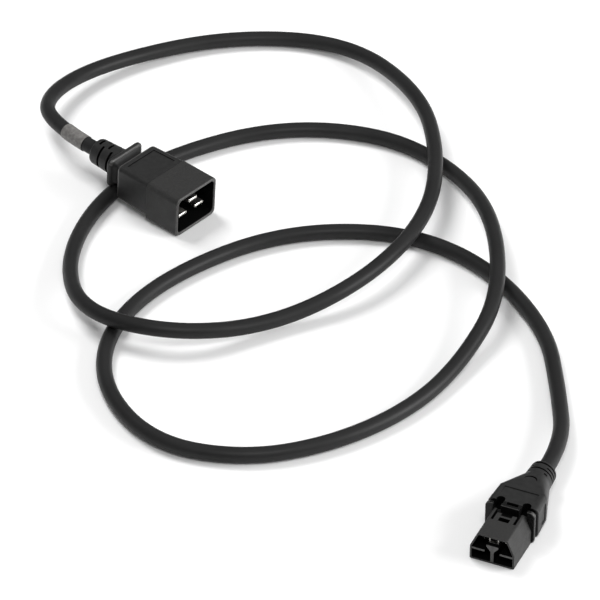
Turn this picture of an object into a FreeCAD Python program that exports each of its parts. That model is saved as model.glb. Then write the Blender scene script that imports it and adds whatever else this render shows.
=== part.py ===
import FreeCAD
import Part
import math
import os
from FreeCAD import Placement, Rotation, Vector

# Power cord for a rack: a C20 plug, a round mains cable and a latching rack power connector.
# It lies on the floor as it comes to rest: z = 0 is the floor and +X is the way the plug's pins point.
# All sizes are millimetres.

# Cable
cable_diameter = 9.0
core_diameter = 3.0
core_pitch_radius = 1.9
core_angles = {"line": 210, "neutral": 330, "earth": 90}
core_straight = 3.0
conductor_diameter = 1.9
bend_share = 0.45

# Grey sleeve round the cable behind the plug
band_start = 9.0
band_length = 17.0
band_thickness = 0.35

# Plug: hard front shroud round the pins
shroud_width = 34.0
shroud_above = 12.7
shroud_below = 13.6
shroud_length = 24.0
shroud_wall = 1.8
shroud_corner = 4.0
rim_round = 0.7
mouth_depth = 19.0
tenon_width = 25.0
tenon_height = 16.0
tenon_length = 8.0
tenon_corner = 2.0

# Plug: flat pins with crimp barrels
pin_width = 7.0
pin_thickness = 2.0
pin_spacing = 14.0
pin_row_drop = 3.9
earth_rise = 8.1
pin_setback = 3.8
earth_lead = 1.4
pin_tip_bevel = 0.5
barrel_diameter = 3.8
barrel_length = 7.0
barrel_bore_depth = 6.0

# Plug: soft rear body, finger grip and strain relief in one moulding
body_front_width = 33.2
body_rear_width = 31.6
body_above = 12.4
body_below = 11.6
body_taper = 0.5
body_length = 24.0
body_corner = 3.2
body_rear_round = 1.0
plug_panel_width = 23.0
plug_panel_length = 16.0
plug_panel_margin = 4.4
panel_depth = 0.5
grip_waist_width = 19.0
grip_waist_height = 13.0
grip_waist_length = 2.2
grip_scoop_length = 6.5
lip_width = 27.5
lip_above = 10.4
lip_below = 8.2
lip_thickness = 3.5
lip_corner = 4.0
lip_round = 1.4
relief_length = 19.5
relief_root_diameter = 17.6
relief_end_diameter = 15.8
relief_end_round = 1.5
slot_width = 1.5
slot_pitch = 3.5
slot_start = 4.0
slot_rows = 4
slot_floor = 0.6
side_slot_height = 14.4
top_slot_width = 5.2
plug_jacket_depth = 23.5

# Connector: hard nose with open chambers and a latch tongue moulded into its top
nose_width = 25.0
nose_side = 8.6
nose_height = 17.7
nose_top_width = 17.0
nose_length = 23.5
nose_wall = 1.0
nose_round = 0.7
nose_front_round = 0.3
chamber_depth = 17.0
rib_height = 6.6
rib_thickness = 1.2
rib_reach = 7.2
stem_width = 1.8
flare_height = 3.0
head_width = 6.8
head_height = 10.5
head_thickness = 1.1
slit_width = 1.2
slit_length = 9.5
slit_spacing = 12.6
slit_depth = 2.1
window_width = 6.0
window_front = 3.0
window_bar = 1.4
latch_gap = 3.0
waist_width = 21.0
waist_bottom = 1.4
waist_top = 13.2
waist_tenon = 7.0

# Connector: collar plate with its bracket over the latch tongue
collar_width = 28.0
collar_height = 20.2
collar_thickness = 2.2
collar_gap = 2.7
collar_corner = 3.2
collar_round = 0.5
collar_clearance = 0.1
bracket_width = 10.2
bracket_arm = 1.8
notch_width = 4.6
notch_floor = 15.2

# Connector: box contacts with crimp barrels
contact_width = 5.4
contact_height = 3.6
contact_wall = 0.6
contact_box_length = 9.0
contact_setbacks = {"line": 9.0, "neutral": 9.0, "earth": 2.5}
contact_offset = 6.4

# Connector: soft rear cover, neck and ribbed tail in one moulding
cover_front_width = 28.8
cover_rear_width = 27.2
cover_bottom = 0.4
cover_top = 19.6
cover_length = 14.0
cover_corner = 3.4
cover_panel_width = 19.0
cover_panel_length = 6.0
cover_panel_margin = 1.8
grip_panel_height = 9.0
grip_panel_length = 8.0
pocket_radius = 2.4
pocket_reach = 3.2
pocket_depth = 5.6
cable_height = 9.5
neck_length = 18.5
neck_flat = 0.04
thumb_mark_radius = 3.6
thumb_mark_width = 1.2
thumb_mark_setback = 10.0
tail_length = 11.0
tail_root_diameter = 15.8
tail_end_diameter = 14.6
tail_end_round = 0.5
groove_width = 1.1
groove_pitch = 2.5
groove_start = 1.9
groove_floor = 0.8
long_groove_top = 6.8
short_groove_bottom = 5.4
connector_jacket_depth = 19.0

# Where the two ends lie
plug_mouth_place = (-127.6, 58.1)
plug_seat_clearance = 0.15
connector_nose_place = (193.5, -71.7)
connector_turn = -74.0
first_run = 40.5
last_run = 28.0

# The cord's bends between its first and last straight runs, chosen from the photograph
route = [
    (-274, 90, 14.0), (-277, 145, 7.0), (-243, 218, 4.5), (-181, 259, 5.5),
    (-103, 233, 14.5), (-52, 187, 14.5), (-18, 134, 14.5), (-6, 67, 14.5),
    (-26, 10, 4.5), (-53, -43, 14.5), (-106, -62, 14.5), (-156, -23, 4.5),
    (-183, 32, 4.5), (-186, 90, 4.5), (-156, 161, 4.5), (-99, 198, 4.5),
    (-39, 193, 4.5), (15, 156, 14.5), (62, 100, 14.5), (76, 50, 6.0),
    (81, 1, 4.5), (69, -51, 4.5), (41, -93, 4.5), (-6, -115, 4.5),
    (-61, -96, 4.5), (-95, -53, 4.5), (-103, 6, 4.5), (-83, 79, 4.5),
    (-32, 125, 4.5), (26, 132, 4.5), (91, 106, 4.5), (135, 61, 4.5),
]

# Lengths that follow from the sizes above
plug_body_rear = shroud_length + body_length
lip_front = plug_body_rear + grip_scoop_length
plug_relief_start = lip_front + lip_thickness
plug_length = plug_relief_start + relief_length
collar_rear = nose_length + collar_thickness
cover_front = collar_rear + collar_gap
cover_rear = cover_front + cover_length
neck_end = cover_rear + neck_length
connector_length = neck_end + tail_length
forward = Vector(1, 0, 0)
same_place = 0.01


def rounded_section(x, width, bottom, top, radius):
    """Rounded rectangle across the X axis, as a wire."""
    half = width / 2
    inset = radius * (1 - math.sqrt(0.5))
    edges = []
    corners = [(half, top), (-half, top), (-half, bottom), (half, bottom)]
    starts = []
    for y, z in corners:
        toward_y = -1 if y > 0 else 1
        toward_z = -1 if z == top else 1
        on_side = Vector(x, y, z + toward_z * radius)
        on_level = Vector(x, y + toward_y * radius, z)
        middle = Vector(x, y + toward_y * inset, z + toward_z * inset)
        rising = (y > 0) == (z == top)
        start, end = (on_side, on_level) if rising else (on_level, on_side)
        starts.append((start, middle, end))
    for index, (start, middle, end) in enumerate(starts):
        edges.append(Part.Arc(start, middle, end).toShape())
        edges.append(Part.LineSegment(end, starts[(index + 1) % 4][0]).toShape())
    return Part.Wire(edges)


def prism(section, length):
    """Solid from a section, drawn forward along +X."""
    return Part.Face(section).extrude(forward * length)


def block(x_rear, x_front, width, bottom, top, y_middle=0.0):
    """Plain box given by its two ends along X, its width and its height range."""
    corner = Vector(x_rear, y_middle - width / 2, bottom)
    return Part.makeBox(x_front - x_rear, width, top - bottom, corner)


def rod(x_rear, x_front, diameter, y=0.0, z=0.0):
    """Round bar along X."""
    return Part.makeCylinder(diameter / 2, x_front - x_rear, Vector(x_rear, y, z), forward)


def round_end(solid, x, radius):
    """Rounds every edge of the solid that lies in one plane across X."""
    edges = [
        edge for edge in solid.Edges
        if abs(edge.BoundBox.XMin - x) < same_place and abs(edge.BoundBox.XMax - x) < same_place
    ]
    return solid.makeFillet(radius, edges)


def bends(points):
    """Start, middle and end of the tangent arc at each inner point, with its radius."""
    arcs = []
    for before, corner, after in zip(points, points[1:], points[2:]):
        back = before - corner
        ahead = after - corner
        reach = bend_share * min(back.Length, ahead.Length)
        half_turn = (math.pi - back.getAngle(ahead)) / 2
        radius = reach / math.tan(half_turn)
        back.normalize()
        ahead.normalize()
        inward = back + ahead
        inward.normalize()
        sag = radius / math.cos(half_turn) - radius
        arcs.append((corner + back * reach, corner + inward * sag, corner + ahead * reach, radius))
    return arcs


def tube(points, diameter, start=None, end=None):
    """Round tube along straight runs joined by tangent arcs; start and end lengthen the outer runs."""
    edges = []
    here = start or points[0]
    for arc_start, arc_middle, arc_end, _ in bends(points):
        edges.append(Part.LineSegment(here, arc_start).toShape())
        edges.append(Part.Arc(arc_start, arc_middle, arc_end).toShape())
        here = arc_end
    edges.append(Part.LineSegment(here, end or points[-1]).toShape())
    path = Part.Wire(edges)
    first_edge = edges[0]
    origin = first_edge.Vertexes[0].Point
    heading = first_edge.Vertexes[1].Point - origin
    circle = Part.Wire(Part.makeCircle(diameter / 2, origin, heading))
    return path.makePipe(Part.Face(circle)), path.Length


def ring_slots(x, width, outer_diameter, inner_diameter, slab=None):
    """Ring-shaped cut across X; a slab keeps only the stretches that lie inside it."""
    ring = rod(x - width / 2, x + width / 2, outer_diameter)
    ring = ring.cut(rod(x - width / 2, x + width / 2, inner_diameter))
    return ring.common(slab) if slab else ring


def core_tails(jacket_end, barrel_rear, barrel_inside, seats, middle_height=0.0):
    """Insulated core from the jacket's end to each barrel, with its bare end in the barrel's bore."""
    tails = {}
    for name, (y, z) in seats.items():
        angle = math.radians(core_angles[name])
        core_y = core_pitch_radius * math.cos(angle)
        core_z = core_pitch_radius * math.sin(angle) + middle_height
        points = [
            Vector(jacket_end, core_y, core_z),
            Vector(jacket_end + core_straight, core_y, core_z),
            Vector(barrel_rear - core_straight, y, z),
            Vector(barrel_rear, y, z),
        ]
        insulated, _ = tube(points, core_diameter)
        bare_end = rod(barrel_rear, barrel_inside, conductor_diameter, y, z)
        tails[name] = insulated.fuse(bare_end)
    return tails


# Plug pins: earth above, line and neutral below it; each blade ends in a crimp barrel
pin_row = -pin_row_drop
pin_seats = {
    "line": (-pin_spacing / 2, pin_row),
    "neutral": (pin_spacing / 2, pin_row),
    "earth": (0.0, pin_row + earth_rise),
}
pin_rear = -(shroud_length + tenon_length)
plug_barrel_rear = pin_rear - barrel_length
plug_bore_end = plug_barrel_rear + barrel_bore_depth


def pin(name):
    """Flat blade with a bevelled tip and a bored barrel behind it."""
    y, z = pin_seats[name]
    tip = -pin_setback + (earth_lead if name == "earth" else 0.0)
    blade = block(pin_rear, tip, pin_width, z - pin_thickness / 2, z + pin_thickness / 2, y)
    tip_edges = [edge for edge in blade.Edges if abs(edge.BoundBox.XMin - tip) < same_place]
    blade = blade.makeChamfer(pin_tip_bevel, tip_edges)
    barrel = rod(plug_barrel_rear, pin_rear, barrel_diameter, y, z)
    bore = rod(plug_barrel_rear, plug_bore_end, conductor_diameter, y, z)
    return blade.fuse(barrel).cut(bore)


pins = {name: pin(name) for name in pin_seats}
plug_jacket_end = -plug_length + plug_jacket_depth
plug_tails = core_tails(plug_jacket_end, plug_barrel_rear, plug_bore_end, pin_seats)

# Plug shroud: a rounded skirt with a floor, and a tenon that the soft body is moulded round
shroud_section = rounded_section(-shroud_length, shroud_width, -shroud_below, shroud_above, shroud_corner)
mouth_section = rounded_section(
    -mouth_depth,
    shroud_width - 2 * shroud_wall,
    -shroud_below + shroud_wall,
    shroud_above - shroud_wall,
    shroud_corner - shroud_wall,
)
tenon_section = rounded_section(pin_rear, tenon_width, -tenon_height / 2, tenon_height / 2, tenon_corner)
tenon = prism(tenon_section, tenon_length)
shroud = prism(shroud_section, shroud_length).cut(prism(mouth_section, mouth_depth))
shroud = round_end(shroud, 0.0, rim_round)
shroud = shroud.fuse(tenon).cut(list(pins.values()))

# Plug overmold: tapering body, scooped finger grip with its rear lip, slotted strain relief
body = Part.makeLoft(
    [
        rounded_section(-plug_body_rear, body_rear_width, -body_below + body_taper, body_above - body_taper,
                        body_corner),
        rounded_section(-shroud_length, body_front_width, -body_below, body_above, body_corner),
    ],
    True,
    True,
)
body = round_end(body, -plug_body_rear, body_rear_round)
panel_rear = -plug_body_rear + plug_panel_margin
panel_slope = body_taper / body_length
panel = block(panel_rear, panel_rear + plug_panel_length, plug_panel_width, -panel_depth, body_corner)
panel.rotate(Vector(panel_rear, 0, 0), Vector(0, 1, 0), -math.degrees(math.atan(panel_slope)))
panel.translate(Vector(0, 0, body_above - body_taper + panel_slope * plug_panel_margin))
waist_rise = grip_waist_height / 2
waist_end = plug_body_rear + grip_waist_length
grip = Part.makeLoft(
    [
        rounded_section(-lip_front, lip_width - 2 * lip_round, lip_round - lip_below, lip_above - lip_round,
                        lip_corner - lip_round),
        rounded_section(-waist_end, grip_waist_width, -waist_rise, waist_rise, lip_corner - lip_round),
        rounded_section(-plug_body_rear, grip_waist_width, -waist_rise, waist_rise, lip_corner - lip_round),
    ],
    True,
    False,
)
lip = prism(rounded_section(-plug_relief_start, lip_width, -lip_below, lip_above, lip_corner), lip_thickness)
lip = round_end(round_end(lip, -lip_front, lip_round), -plug_relief_start, lip_round)
relief = Part.makeCone(
    relief_end_diameter / 2, relief_root_diameter / 2, relief_length, Vector(-plug_length, 0, 0), forward
)
relief = round_end(relief, -plug_length, relief_end_round)
slot_inside = cable_diameter + 2 * slot_floor
slots = []
for row in range(slot_rows):
    slot_x = -plug_length + slot_start + row * slot_pitch
    if row % 2:
        slab = block(slot_x - slot_width, slot_x + slot_width, 2 * relief_root_diameter,
                     -side_slot_height / 2, side_slot_height / 2)
    else:
        slab = block(slot_x - slot_width, slot_x + slot_width, top_slot_width,
                     -relief_root_diameter, relief_root_diameter)
    slots.append(ring_slots(slot_x, slot_width, 2 * relief_root_diameter, slot_inside, slab))
plug_overmold = body.fuse([grip, lip, relief]).cut([panel] + slots)
plug_cable_bore = rod(-plug_length, plug_jacket_end, cable_diameter)
plug_overmold = plug_overmold.cut(
    [tenon, plug_cable_bore] + list(pins.values()) + list(plug_tails.values())
)


# Connector housing: trapezoid nose, open chambers, a Y-shaped divider and the latch tongue's slits
def nose_outline(x):
    """Nose section across X: upright sides, then slopes up to a narrower top."""
    half = nose_width / 2
    half_top = nose_top_width / 2
    corners = [
        (-half, 0), (half, 0), (half, nose_side), (half_top, nose_height),
        (-half_top, nose_height), (-half, nose_side), (-half, 0),
    ]
    return Part.makePolygon([Vector(x, y, z) for y, z in corners])


nose = prism(nose_outline(-nose_length), nose_length)
long_edges = [edge for edge in nose.Edges if abs(edge.BoundBox.XLength - nose_length) < same_place]
nose = round_end(nose.makeFillet(nose_round, long_edges), 0.0, nose_front_round)
chamber_section = nose_outline(-chamber_depth).makeOffset2D(-nose_wall, 2)
chamber = prism(chamber_section, chamber_depth)
stem_top = head_height - flare_height
flare = Part.makePolygon([
    Vector(-chamber_depth, -stem_width / 2, stem_top),
    Vector(-chamber_depth, stem_width / 2, stem_top),
    Vector(-chamber_depth, head_width / 2, head_height),
    Vector(-chamber_depth, -head_width / 2, head_height),
    Vector(-chamber_depth, -stem_width / 2, stem_top),
])
rib_outer = nose_width / 2 - nose_wall / 2
rib_inner = nose_width / 2 - nose_wall - rib_reach
ribs = [
    block(-chamber_depth, 0, rib_outer - rib_inner, rib_height, rib_height + rib_thickness,
          side * (rib_outer + rib_inner) / 2)
    for side in (-1, 1)
]
divider = [
    block(-chamber_depth, 0, stem_width, nose_wall / 2, stem_top),
    prism(flare, chamber_depth),
    block(-chamber_depth, 0, head_width, head_height, head_height + head_thickness),
]
slit_front = -nose_length + slit_length
slit_floor = nose_height - slit_depth
slits = [
    block(-nose_length, slit_front, slit_width, slit_floor, nose_height, side * slit_spacing / 2)
    for side in (-1, 1)
]
bar_front = slit_front - window_front
bar_rear = bar_front - window_bar
gap_front = -nose_length + latch_gap
windows = [
    block(bar_front, slit_front, window_width, slit_floor, nose_height),
    block(gap_front, bar_rear, window_width, slit_floor, nose_height),
    block(-nose_length, gap_front, slit_spacing, slit_floor, nose_height),
]
waist = block(-cover_front - waist_tenon, -nose_length, waist_width, waist_bottom, waist_top)

# Box contacts: line and neutral on the side ribs, earth on the divider's head
contact_rear = -cover_front - waist_tenon
connector_barrel_rear = contact_rear - barrel_length
connector_bore_end = connector_barrel_rear + barrel_bore_depth
rib_top = rib_height + rib_thickness
head_top = head_height + head_thickness
contact_seats = {
    "line": (-contact_offset, rib_top),
    "neutral": (contact_offset, rib_top),
    "earth": (0.0, head_top),
}


def contact(name):
    """Open box that grips a blade, a flat strip behind it, and a bored barrel at the strip's rear."""
    y, z = contact_seats[name]
    tip = -contact_setbacks[name]
    box_rear = tip - contact_box_length
    top = z + contact_height
    box = block(box_rear, tip, contact_width, z, top, y)
    hollow = block(box_rear, tip, contact_width - 2 * contact_wall, z + contact_wall, top - contact_wall, y)
    strip = block(contact_rear, box_rear, contact_width, z, z + contact_wall, y)
    middle = z + contact_wall / 2
    barrel = rod(connector_barrel_rear, contact_rear, barrel_diameter, y, middle)
    bore = rod(connector_barrel_rear, connector_bore_end, conductor_diameter, y, middle)
    return box.cut(hollow).fuse([strip, barrel]).cut(bore)


contacts = {name: contact(name) for name in contact_seats}
barrel_seats = {name: (y, z + contact_wall / 2) for name, (y, z) in contact_seats.items()}
connector_jacket_end = -connector_length + connector_jacket_depth
connector_tails = core_tails(
    connector_jacket_end, connector_barrel_rear, connector_bore_end, barrel_seats, cable_height
)
housing = nose.cut(chamber).fuse(divider + ribs + [waist]).cut(slits + windows + list(contacts.values()))

# Collar plate: slides over the waist against the nose, with two notches and a bracket that reaches the cover
collar = prism(rounded_section(-collar_rear, collar_width, 0, collar_height, collar_corner), collar_thickness)
collar = round_end(collar, -nose_length, collar_round)
arm_offset = (bracket_width - bracket_arm) / 2
arms = [
    block(-cover_front, -collar_rear, bracket_arm, notch_floor, cover_top, side * arm_offset)
    for side in (-1, 1)
]
notch_offset = (bracket_width + notch_width) / 2
notches = [
    block(-collar_rear, -nose_length, notch_width, notch_floor, collar_height, side * notch_offset)
    for side in (-1, 1)
]
waist_hole = block(-collar_rear, -nose_length, waist_width + 2 * collar_clearance,
                   waist_bottom - collar_clearance, waist_top + collar_clearance)
collar = collar.cut(notches + [waist_hole]).fuse(arms)

# Connector overmold: tapering cover, neck lofted to a round tail with ring grooves and side slots
cover = Part.makeLoft(
    [
        rounded_section(-cover_rear, cover_rear_width, cover_bottom, cover_top, cover_corner),
        rounded_section(-cover_front, cover_front_width, cover_bottom, cover_top, cover_corner),
    ],
    True,
    True,
)
neck_corner = (tail_root_diameter - neck_flat) / 2
neck = Part.makeLoft(
    [
        rounded_section(-neck_end, tail_root_diameter, cable_height - tail_root_diameter / 2,
                        cable_height + tail_root_diameter / 2, neck_corner),
        rounded_section(-cover_rear, cover_rear_width, cover_bottom, cover_top, cover_corner),
    ],
    True,
    True,
)
tail = Part.makeCone(
    tail_end_diameter / 2, tail_root_diameter / 2, tail_length,
    Vector(-connector_length, 0, cable_height), forward,
)
tail = round_end(tail, -connector_length, tail_end_round)
groove_inside = cable_diameter + 2 * groove_floor
groove_spans = [None, (-long_groove_top, long_groove_top), None, (short_groove_bottom, long_groove_top)]
grooves = []
for row, span in enumerate(groove_spans):
    groove_x = -connector_length + groove_start + row * groove_pitch
    slab = None
    if span:
        slab = block(groove_x - groove_width, groove_x + groove_width, 2 * tail_root_diameter, *span)
    groove = ring_slots(groove_x, groove_width, 2 * tail_root_diameter, groove_inside, slab)
    groove.translate(Vector(0, 0, cable_height))
    grooves.append(groove)
cover_panel = block(-cover_rear + cover_panel_margin, -cover_rear + cover_panel_margin + cover_panel_length,
                    cover_panel_width, cover_top - panel_depth, cover_top + panel_depth)
grip_middle = -(cover_front + cover_rear) / 2
grip_height_middle = (cover_bottom + cover_top) / 2
mean_width = (cover_front_width + cover_rear_width) / 2
grip_panels = [
    block(grip_middle - grip_panel_length / 2, grip_middle + grip_panel_length / 2, 2 * panel_depth,
          grip_height_middle - grip_panel_height / 2, grip_height_middle + grip_panel_height / 2,
          side * mean_width / 2)
    for side in (-1, 1)
]
mark_x = -cover_rear - thumb_mark_setback
mark_floor = cable_height + tail_root_diameter / 2 - panel_depth
mark_height = cover_top - mark_floor
thumb_mark = Part.makeCylinder(thumb_mark_radius, mark_height, Vector(mark_x, 0, mark_floor))
thumb_mark = thumb_mark.cut(
    Part.makeCylinder(thumb_mark_radius, mark_height, Vector(mark_x + thumb_mark_width, 0, mark_floor))
)
pocket_x = -cover_front - pocket_reach + pocket_radius
pocket_floor = cover_top - pocket_depth
pockets = [
    Part.makeCylinder(pocket_radius, pocket_depth, Vector(pocket_x, side * notch_offset, pocket_floor))
    for side in (-1, 1)
]
cable_bore = rod(-connector_length, connector_jacket_end, cable_diameter, 0, cable_height)
connector_overmold = cover.fuse([neck, tail])
connector_overmold = connector_overmold.cut([cover_panel, thumb_mark] + grip_panels + pockets + grooves)
connector_overmold = connector_overmold.cut(
    [waist, cable_bore] + list(contacts.values()) + list(connector_tails.values())
)

# The plug rests on its nose and, behind the finger grip, on the cord that passes under its lip
plug_crossing = lip_front + lip_thickness / 2
plug_lift = cable_diameter + plug_seat_clearance - (shroud_below - lip_below)
plug_tilt = math.asin(plug_lift / plug_crossing)
plug_place = Placement(
    Vector(plug_mouth_place[0], plug_mouth_place[1], shroud_below * math.cos(plug_tilt)),
    Rotation(Vector(0, 1, 0), math.degrees(plug_tilt)),
)
connector_place = Placement(
    Vector(connector_nose_place[0], connector_nose_place[1], 0),
    Rotation(Vector(0, 0, 1), connector_turn),
)


def on_plug(distance):
    """Point on the plug's cable line, this far behind its mouth."""
    return plug_place.multVec(Vector(-distance, 0, 0))


def on_connector(distance):
    """Point on the connector's cable line, this far behind its nose."""
    return connector_place.multVec(Vector(-distance, 0, cable_height))


# Cable: from inside the plug's overmold to inside the connector's
bend_points = [Vector(x, y, z) for x, y, z in route]
cord_points = (
    [on_plug(plug_length), on_plug(plug_length + first_run)]
    + bend_points
    + [on_connector(connector_length + last_run), on_connector(connector_length)]
)
cable, cable_length = tube(
    cord_points, cable_diameter, on_plug(-plug_jacket_end), on_connector(-connector_jacket_end)
)
section_area = math.pi * (cable_diameter / 2) ** 2
print("cord bend radii:", [round(radius) for start, middle, end, radius in bends(cord_points)])
print("cable volume over section times length:", round(cable.Volume / (section_area * cable_length), 4))
print("cord length outside the two ends:",
      round(cable_length - plug_jacket_depth - connector_jacket_depth, 1))

# Grey sleeve on the cable: along the first straight run and a little way into the first bend
arc_start, arc_middle, arc_end, _ = bends(cord_points)[0]
band_front = on_plug(plug_length + band_start)
first_arc = Part.Arc(arc_start, arc_middle, arc_end)
arc_share = (band_length - (arc_start - band_front).Length) / first_arc.length()
arc_span = first_arc.LastParameter - first_arc.FirstParameter
band_path = Part.Wire([
    Part.LineSegment(band_front, arc_start).toShape(),
    first_arc.toShape(first_arc.FirstParameter, first_arc.FirstParameter + arc_share * arc_span),
])
band_heading = arc_start - band_front
band_outside = Part.Wire(Part.makeCircle(cable_diameter / 2 + band_thickness, band_front, band_heading))
band_inside = Part.Wire(Part.makeCircle(cable_diameter / 2, band_front, band_heading))
band = band_path.makePipe(Part.Face(band_outside)).cut(band_path.makePipe(Part.Face(band_inside)))

placed = {
    "plug_shroud": (shroud, plug_place),
    "plug_overmold": (plug_overmold, plug_place),
    "label_band": (band, Placement()),
    "connector_housing": (housing, connector_place),
    "connector_collar": (collar, connector_place),
    "connector_overmold": (connector_overmold, connector_place),
    "cable": (cable, Placement()),
}
for name in pin_seats:
    placed["plug_" + name + "_pin"] = (pins[name], plug_place)
    placed["plug_" + name + "_core"] = (plug_tails[name], plug_place)
    placed["connector_" + name + "_contact"] = (contacts[name], connector_place)
    placed["connector_" + name + "_core"] = (connector_tails[name], connector_place)

os.makedirs("parts", exist_ok=True)
for name, (shape, place) in placed.items():
    solid = shape.removeSplitter().copy()
    solid.Placement = place.multiply(solid.Placement)
    print(name, "solids", len(solid.Solids), "valid", solid.isValid(), "volume", round(solid.Volume, 1))
    solid.exportStep("parts/" + name + ".step")
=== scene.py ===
import bpy
import bmesh
import math
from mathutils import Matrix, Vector


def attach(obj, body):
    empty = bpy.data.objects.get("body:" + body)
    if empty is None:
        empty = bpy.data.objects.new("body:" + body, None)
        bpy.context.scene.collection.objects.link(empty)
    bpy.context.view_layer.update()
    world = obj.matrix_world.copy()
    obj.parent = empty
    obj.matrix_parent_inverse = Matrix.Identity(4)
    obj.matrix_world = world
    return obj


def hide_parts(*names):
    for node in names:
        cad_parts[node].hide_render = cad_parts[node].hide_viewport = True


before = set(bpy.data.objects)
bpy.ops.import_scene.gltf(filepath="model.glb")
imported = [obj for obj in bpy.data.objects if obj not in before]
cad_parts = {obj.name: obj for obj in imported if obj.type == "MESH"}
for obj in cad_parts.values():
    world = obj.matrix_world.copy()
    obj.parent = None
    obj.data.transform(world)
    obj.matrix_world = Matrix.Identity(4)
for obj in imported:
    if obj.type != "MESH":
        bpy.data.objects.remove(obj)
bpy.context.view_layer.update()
bpy.ops.object.select_all(action="DESELECT")


# Cable: three copper cores in one round black PVC jacket, extruded in a single length.
# It leaves the plug's strain relief, lies on the floor in loose turns that cross each other,
# and goes into the connector's tail.
cable_diameter = 0.009
plug_exit = (-0.20493, 0.0581, 0.01874)
connector_exit = (0.17368, -0.00259, 0.0095)
cable_route = [
    plug_exit,
    (-0.24534, 0.0581, 0.02144),
    (-0.274, 0.090, 0.0140), (-0.277, 0.145, 0.0070), (-0.243, 0.218, 0.0045),
    (-0.181, 0.259, 0.0055), (-0.103, 0.233, 0.0145), (-0.052, 0.187, 0.0145),
    (-0.018, 0.134, 0.0145), (-0.006, 0.067, 0.0145), (-0.026, 0.010, 0.0045),
    (-0.053, -0.043, 0.0145), (-0.106, -0.062, 0.0145), (-0.156, -0.023, 0.0045),
    (-0.183, 0.032, 0.0045), (-0.186, 0.090, 0.0045), (-0.156, 0.161, 0.0045),
    (-0.099, 0.198, 0.0045), (-0.039, 0.193, 0.0045), (0.015, 0.156, 0.0145),
    (0.062, 0.100, 0.0145), (0.076, 0.050, 0.0060), (0.081, 0.001, 0.0045),
    (0.069, -0.051, 0.0045), (0.041, -0.093, 0.0045), (-0.006, -0.115, 0.0045),
    (-0.061, -0.096, 0.0045), (-0.095, -0.053, 0.0045), (-0.103, 0.006, 0.0045),
    (-0.083, 0.079, 0.0045), (-0.032, 0.125, 0.0045), (0.026, 0.132, 0.0045),
    (0.091, 0.106, 0.0045), (0.135, 0.061, 0.0045),
    (0.16596, 0.02433, 0.0095),
    connector_exit,
]
noise_low, noise_high = 0.3, 0.7


def route_curve(name, points):
    """Open NURBS curve with these points as its control points."""
    curve = bpy.data.curves.new(name, "CURVE")
    curve.dimensions = "3D"
    spline = curve.splines.new("NURBS")
    spline.points.add(len(points) - 1)
    for place, point in zip(spline.points, points):
        place.co = (*point, 1.0)
    spline.order_u = 3
    spline.use_endpoint_u = True
    spline.resolution_u = 16
    piece = bpy.data.objects.new(name, curve)
    bpy.context.scene.collection.objects.link(piece)
    return piece


def new_finish(name, colour):
    """Node material of this colour, and its shader, ready for its grain."""
    material = bpy.data.materials.new(name)
    material.use_nodes = True
    shader = material.node_tree.nodes["Principled BSDF"]
    shader.inputs["Base Color"].default_value = (*colour, 1)
    return material, shader


def grain(material, scale, detail=2.0):
    """Noise over the piece's own Object coordinates, from 0 to 1."""
    tree = material.node_tree
    place = tree.nodes.new("ShaderNodeTexCoord")
    noise = tree.nodes.new("ShaderNodeTexNoise")
    noise.inputs["Scale"].default_value = scale
    noise.inputs["Detail"].default_value = detail
    tree.links.new(place.outputs["Object"], noise.inputs["Vector"])
    return noise.outputs["Fac"]


def vary_roughness(material, shader, pattern, low, high):
    """Lets the roughness wander between two values with a pattern."""
    tree = material.node_tree
    spread = tree.nodes.new("ShaderNodeMapRange")
    spread.inputs["From Min"].default_value = noise_low
    spread.inputs["From Max"].default_value = noise_high
    spread.inputs["To Min"].default_value = low
    spread.inputs["To Max"].default_value = high
    tree.links.new(pattern, spread.inputs["Value"])
    tree.links.new(spread.outputs["Result"], shader.inputs["Roughness"])


def vary_colour(material, shader, pattern, dark, light):
    """Lets the colour wander between two shades with a pattern."""
    tree = material.node_tree
    shades = tree.nodes.new("ShaderNodeValToRGB")
    shades.color_ramp.elements[0].position = noise_low
    shades.color_ramp.elements[0].color = (*dark, 1)
    shades.color_ramp.elements[1].position = noise_high
    shades.color_ramp.elements[1].color = (*light, 1)
    tree.links.new(pattern, shades.inputs["Fac"])
    tree.links.new(shades.outputs["Color"], shader.inputs["Base Color"])


def raise_grain(material, shader, pattern, strength, height):
    """Raises a pattern off the surface by a bump of this height."""
    tree = material.node_tree
    bump = tree.nodes.new("ShaderNodeBump")
    bump.inputs["Strength"].default_value = strength
    bump.inputs["Distance"].default_value = height
    tree.links.new(pattern, bump.inputs["Height"])
    tree.links.new(bump.outputs["Normal"], shader.inputs["Normal"])


cable = route_curve("power_cable", cable_route)
cable.data.bevel_depth = cable_diameter / 2
cable.data.bevel_resolution = 10
cable.data.use_fill_caps = True
jacket_pvc, shader = new_finish("jacket_pvc", (0.0165, 0.0165, 0.0165))
shader.inputs["Specular IOR Level"].default_value = 0.18
vary_colour(jacket_pvc, shader, grain(jacket_pvc, scale=35, detail=4),
            dark=(0.0145, 0.0145, 0.0146), light=(0.0187, 0.0187, 0.0188))
vary_roughness(jacket_pvc, shader, grain(jacket_pvc, scale=60, detail=4), low=0.42, high=0.5)
raise_grain(jacket_pvc, shader, grain(jacket_pvc, scale=900), strength=0.12, height=0.0003)
cable.data.materials.append(jacket_pvc)
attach(cable, "root")
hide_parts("cable")


# Label sleeve: a short piece of grey heat-shrink film, slipped over the cable behind the plug
# and shrunk tight. It is bare, and it follows the cable into its first bend.
sleeve_start = 0.009
sleeve_length = 0.017
sleeve_film = 0.0004

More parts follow.
